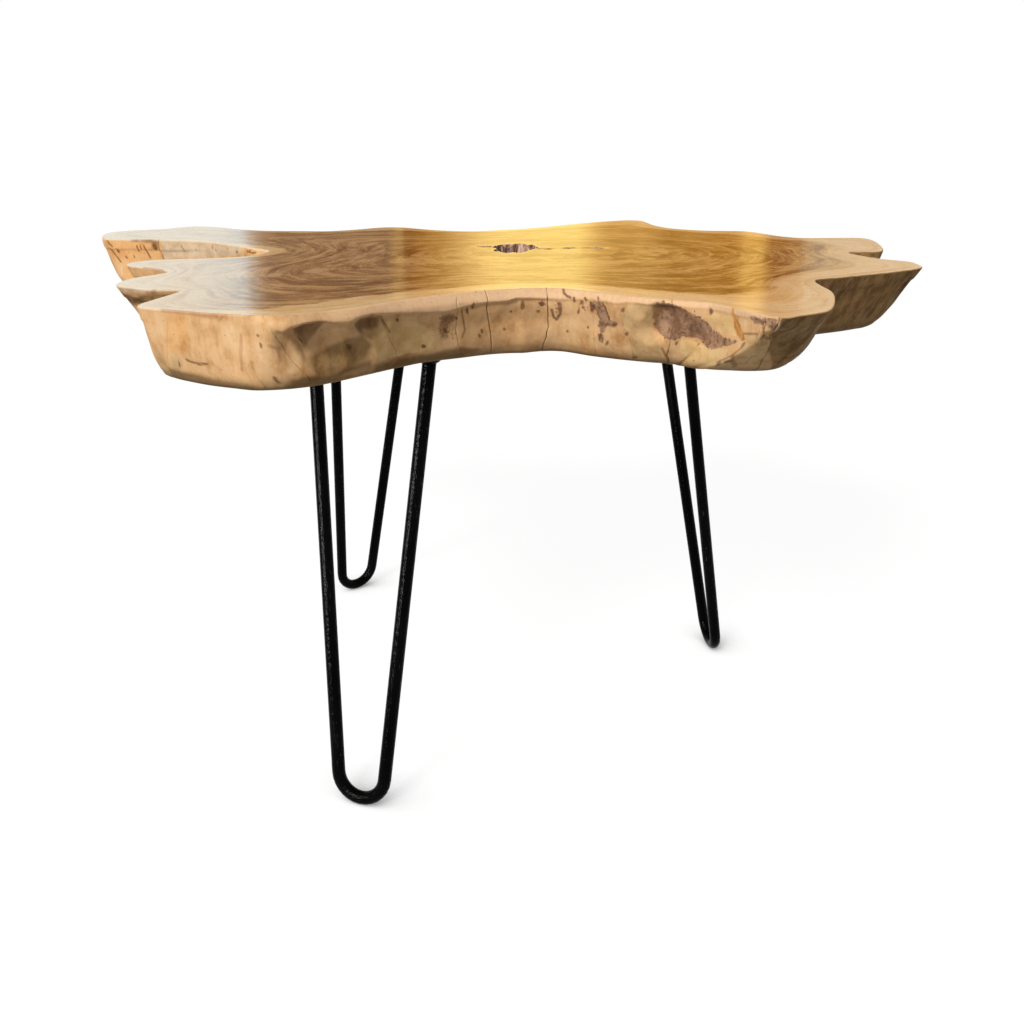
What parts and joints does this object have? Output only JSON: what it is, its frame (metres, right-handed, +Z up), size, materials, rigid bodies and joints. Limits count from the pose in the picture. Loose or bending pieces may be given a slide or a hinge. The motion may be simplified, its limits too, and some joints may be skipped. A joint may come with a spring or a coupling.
{
  "type": "tree trunk coffee table",
  "caption": "Low table: a lacquered slice of fluted tree trunk with a live edge and a natural void, on splayed hairpin legs of bent black rod screwed to its underside.",
  "frame": {"origin": "on the floor, under the centre of the slab's bounding box", "axes": "+Z up; +X to the right and +Y away from the viewer, as the picture shows the table"},
  "size_m": [0.876, 0.7316, 0.4628],
  "materials": {
    "wood": "satin lacquer",
    "black_paint": "satin black paint on steel",
    "screw_steel": "bright zinc plate"
  },
  "bodies": {
    "root": {"slab": "wood", "front_leg_rod": "black_paint", "front_leg_plate": "black_paint", "front_leg_weld_left": "black_paint", "front_leg_weld_right": "black_paint", "front_leg_screw_1": "screw_steel", "front_leg_screw_2": "screw_steel", "front_leg_screw_3": "screw_steel", "front_leg_screw_4": "screw_steel", "back_leg_rod": "black_paint", "back_leg_plate": "black_paint", "back_leg_weld_left": "black_paint", "back_leg_weld_right": "black_paint", "back_leg_screw_1": "screw_steel", "back_leg_screw_2": "screw_steel", "back_leg_screw_3": "screw_steel", "back_leg_screw_4": "screw_steel", "right_leg_rod": "black_paint", "right_leg_plate": "black_paint", "right_leg_weld_left": "black_paint", "right_leg_weld_right": "black_paint", "right_leg_screw_1": "screw_steel", "right_leg_screw_2": "screw_steel", "right_leg_screw_3": "screw_steel", "right_leg_screw_4": "screw_steel"}
  },
  "joints": []
}
